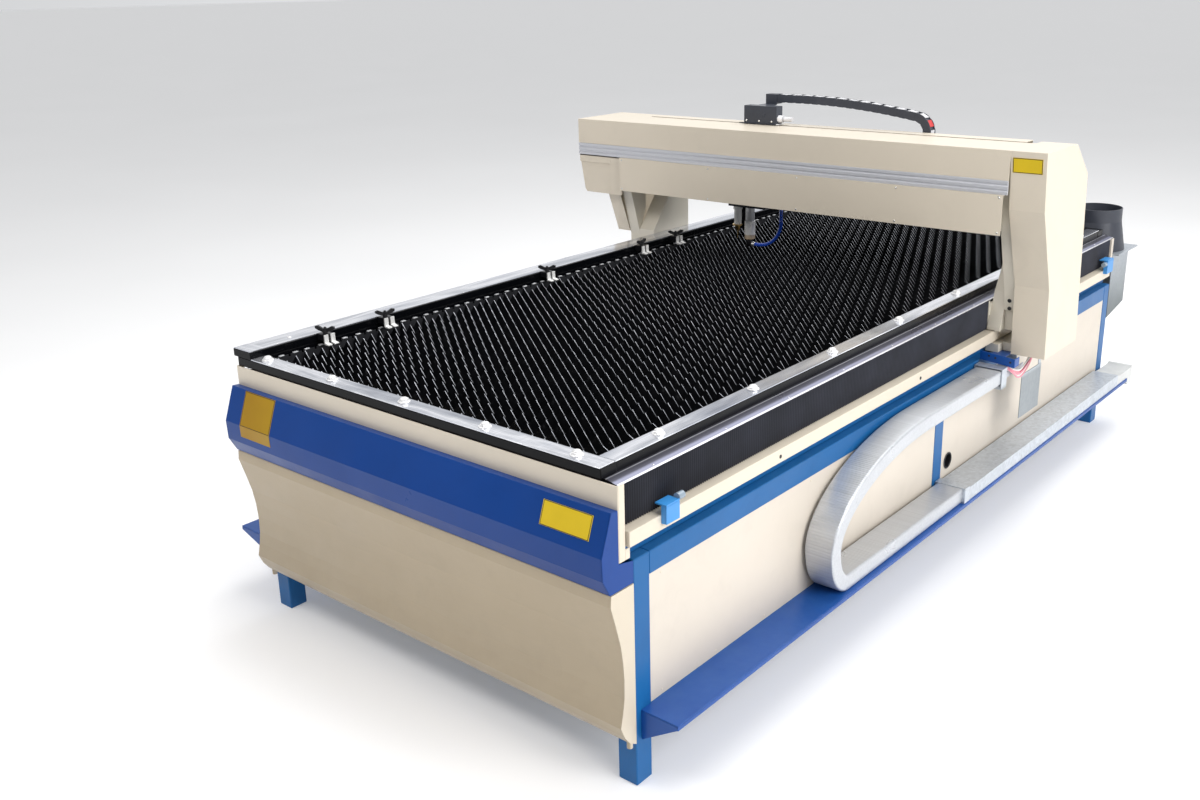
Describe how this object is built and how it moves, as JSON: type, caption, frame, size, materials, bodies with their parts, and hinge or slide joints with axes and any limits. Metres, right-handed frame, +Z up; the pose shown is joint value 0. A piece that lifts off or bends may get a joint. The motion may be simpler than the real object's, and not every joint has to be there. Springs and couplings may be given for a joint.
{
  "type": "flatbed laser cutting machine",
  "caption": "Flatbed laser cutter with a toothed slat bed on a tube-frame table, a gantry travelling along it, a cross carriage, a lifting head, cable loops, sheet clamps and an exhaust hood.",
  "frame": {"origin": "centre of the bounding box in plan, on the floor", "axes": "+Z up, +Y along the table from the front covers to the exhaust, +X across the table to the conduit side"},
  "size_m": [2.088, 3.801, 1.53],
  "materials": {
    "blue_paint": "satin",
    "cream_paint": "satin",
    "white_paint": "satin",
    "black_paint": "satin",
    "dark_paint": "matt",
    "light_blue_paint": "satin",
    "yellow_plate": "plain",
    "steel": "brushed",
    "galvanised": "zinc",
    "ground_steel": "ground",
    "zinc_steel": "zinc plated",
    "slat_steel": "oxidised",
    "dark_steel": "blackened",
    "bolt_zinc": "bright zinc",
    "conduit_metal": "ribbed",
    "strip_alu": "brushed",
    "grey_plastic": "plain",
    "black_plastic": "plain",
    "bellows_fabric": "coated cloth",
    "rubber_dark": "plain",
    "cable_pink": "sheath",
    "hose_blue": "tube",
    "brass": "turned",
    "lens_white": "anodised"
  },
  "bodies": {
    "base": {"frame_posts": "blue_paint", "frame_rails": "blue_paint", "infill_panels": "cream_paint", "front_band": "cream_paint", "front_cover_upper": "blue_paint", "front_cover_lower": "cream_paint", "label_plates": "yellow_plate", "table_frame": "black_paint", "fence_bar": "black_paint", "steel_strips": "steel", "strip_bolts": "bolt_zinc", "clamp_bases": "black_paint", "clamp_prongs": "zinc_steel", "slats_odd": "slat_steel", "slats_even": "slat_steel", "slat_combs": "steel", "bed_tray": "dark_paint", "bed_walls": "dark_paint", "rail_ledges": "cream_paint", "linear_rails": "ground_steel", "rail_covers": "steel", "bellows_front": "bellows_fabric", "bellows_rear": "bellows_fabric", "shelves": "blue_paint", "conduit_lower": "conduit_metal", "rear_duct": "galvanised", "duct_fitting": "grey_plastic", "limit_stops": "light_blue_paint", "limit_dampers": "rubber_dark", "exhaust_hood": "galvanised", "exhaust_collar": "black_paint"},
    "gantry": {"column_bodies": "white_paint", "column_covers": "cream_paint", "column_plate": "yellow_plate", "guide_blocks": "dark_steel", "beam_core": "white_paint", "beam_cover": "cream_paint", "groove_strip": "strip_alu", "beam_fascia": "cream_paint", "beam_rails": "ground_steel", "foot_plate": "blue_paint", "cable_plates": "galvanised", "signal_cables": "cable_pink", "chain_lower": "black_plastic"},
    "conduit_bend": {"conduit_loop": "conduit_metal"},
    "conduit_top": {"conduit_upper": "conduit_metal"},
    "carriage": {"carriage_plate": "dark_steel", "carriage_box": "black_paint"},
    "chain_bend": {"chain_loop": "black_plastic"},
    "chain_top": {"chain_upper": "black_plastic"},
    "head": {"head_bracket": "dark_steel", "lens_tube": "lens_white", "nozzle": "brass", "sensor": "steel", "gas_hose": "hose_blue"},
    "knob_1": {"clamp_knob_1": "black_plastic"},
    "knob_2": {"clamp_knob_2": "black_plastic"},
    "knob_3": {"clamp_knob_3": "black_plastic"},
    "knob_4": {"clamp_knob_4": "black_plastic"},
    "knob_5": {"clamp_knob_5": "black_plastic"}
  },
  "joints": [
    {"name": "gantry_travel", "type": "slide", "parent": "base", "child": "gantry", "axis": [0, 1, 0], "range_m": [-1.29, 0.62], "deforming": ["bellows_front", "bellows_rear"]},
    {"name": "conduit_travel", "type": "slide", "parent": "base", "child": "conduit_bend", "axis": [0, 1, 0], "range_m": [-0.66, 0.33], "deforming": ["conduit_lower", "conduit_upper"]},
    {"name": "conduit_top_travel", "type": "slide", "parent": "gantry", "child": "conduit_top", "axis": [0, 1, 0], "range_m": [-0.33, 0.66]},
    {"name": "head_travel", "type": "slide", "parent": "gantry", "child": "carriage", "axis": [1, 0, 0], "range_m": [-0.18, 0.75], "deforming": ["chain_lower", "chain_upper"]},
    {"name": "chain_travel", "type": "slide", "parent": "gantry", "child": "chain_bend", "axis": [1, 0, 0], "range_m": [-0.1, 0.38]},
    {"name": "chain_top_travel", "type": "slide", "parent": "carriage", "child": "chain_top", "axis": [1, 0, 0], "range_m": [-0.38, 0.1]},
    {"name": "head_lift", "type": "slide", "parent": "carriage", "child": "head", "axis": [0, 0, 1], "range_m": [-0.01, 0.04], "deforming": ["gas_hose"]},
    {"name": "knob_turn_1", "type": "hinge", "parent": "base", "child": "knob_1", "pos_m": [-0.624, -1.56, 0.9179], "axis": [0, 0, 1], "range_deg": [-180, 180]},
    {"name": "knob_turn_2", "type": "hinge", "parent": "base", "child": "knob_2", "pos_m": [-0.624, -1.312, 0.9179], "axis": [0, 0, 1], "range_deg": [-180, 180]},
    {"name": "knob_turn_3", "type": "hinge", "parent": "base", "child": "knob_3", "pos_m": [-0.624, -0.508, 0.9179], "axis": [0, 0, 1], "range_deg": [-180, 180]},
    {"name": "knob_turn_4", "type": "hinge", "parent": "base", "child": "knob_4", "pos_m": [-0.624, 0.077, 0.9179], "axis": [0, 0, 1], "range_deg": [-180, 180]},
    {"name": "knob_turn_5", "type": "hinge", "parent": "base", "child": "knob_5", "pos_m": [-0.624, 0.317, 0.9179], "axis": [0, 0, 1], "range_deg": [-180, 180]}
  ],
  "couplings": [
    {"joint": "conduit_travel", "follows": "gantry_travel", "ratio": 0.5},
    {"joint": "conduit_top_travel", "follows": "gantry_travel", "ratio": -0.5},
    {"joint": "chain_travel", "follows": "head_travel", "ratio": 0.5},
    {"joint": "chain_top_travel", "follows": "head_travel", "ratio": -0.5}
  ]
}
